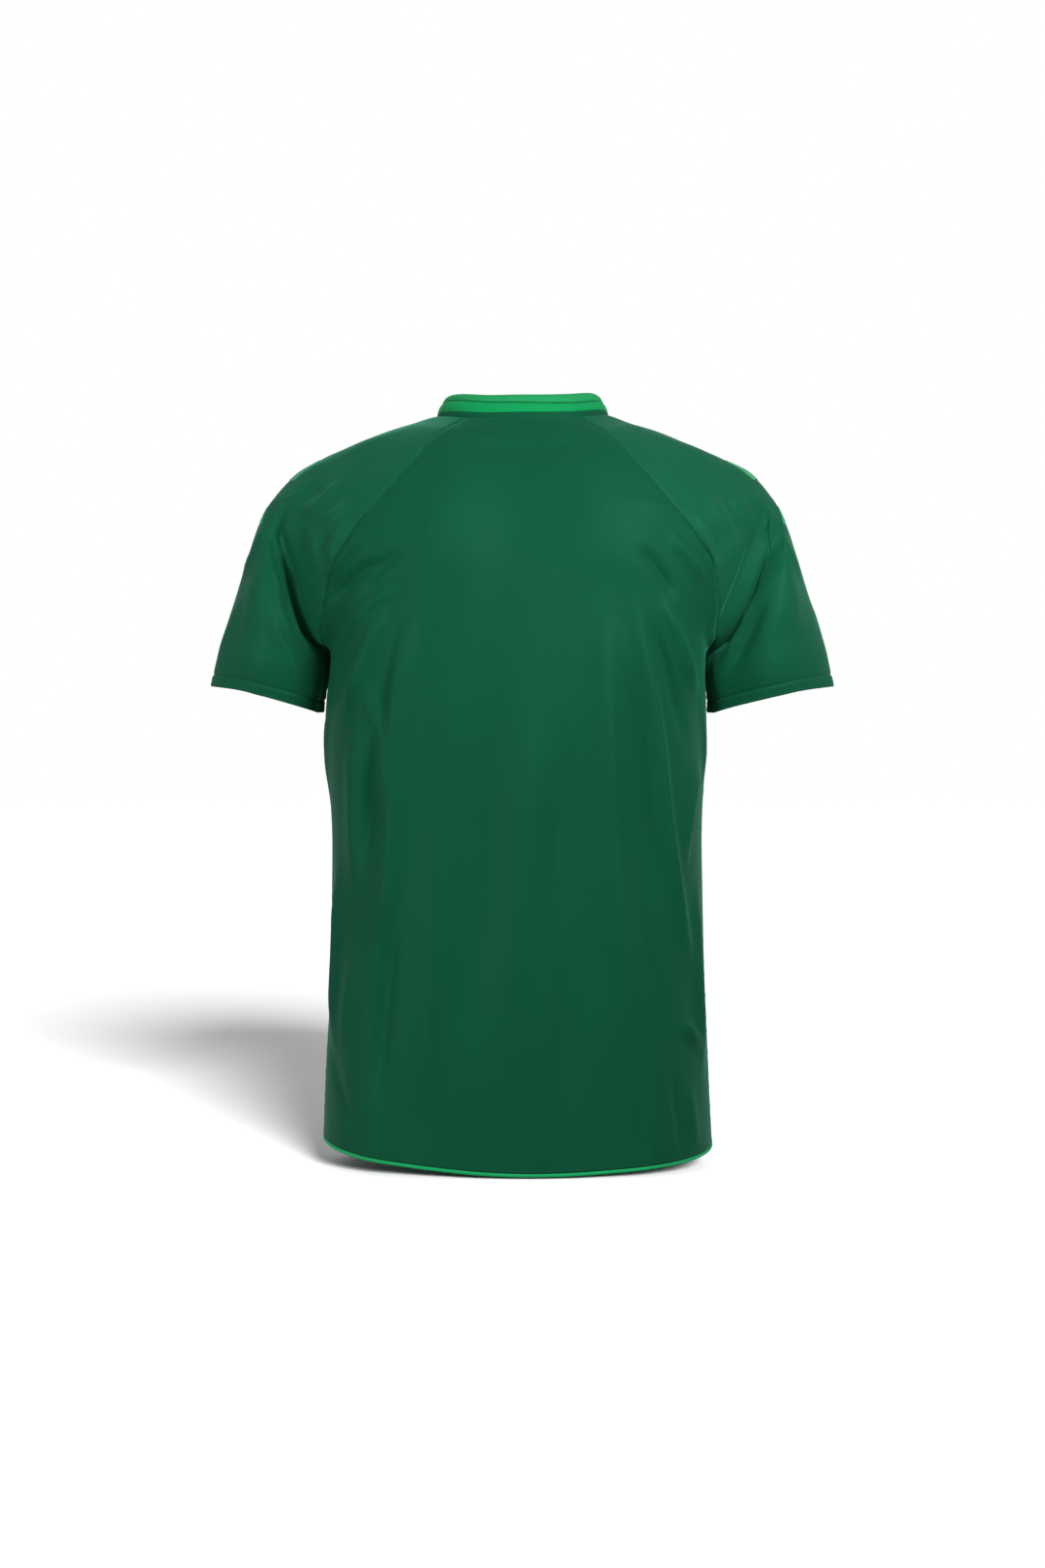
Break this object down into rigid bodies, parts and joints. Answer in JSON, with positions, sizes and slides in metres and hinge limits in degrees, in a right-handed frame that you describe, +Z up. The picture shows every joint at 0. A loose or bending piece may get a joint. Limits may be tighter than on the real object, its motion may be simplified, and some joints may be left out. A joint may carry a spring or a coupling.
{
  "type": "football jersey",
  "caption": "Short-sleeved raglan football jersey, filled out with no wearer, with a bright stand collar, a dark neck strip and a bright hem edging.",
  "frame": {"origin": "middle of the neck opening, level with the points where the shoulders meet the neck, where the shoulders of a wearer carry the garment", "axes": "+Z up towards the neck, +Y out of the back, +X to the wearer's left; the front faces -Y"},
  "size_m": [0.62, 0.2756, 0.7558],
  "materials": {
    "body_knit": "dark green polyester knit, satin",
    "binding": "dark green folded knit, matte",
    "bright_rib": "bright green rib knit, matte",
    "bright_patch": "bright green heat-pressed patch, satin"
  },
  "bodies": {
    "root": {"back": "body_knit", "front": "body_knit", "sleeve_left": "body_knit", "sleeve_right": "body_knit", "neck_strip": "binding", "collar": "bright_rib", "collar_edge": "bright_rib", "hem_edging": "bright_rib", "bar_left_wide": "bright_patch", "bar_left_narrow": "bright_patch", "bar_right_wide": "bright_patch", "bar_right_narrow": "bright_patch"}
  },
  "joints": []
}
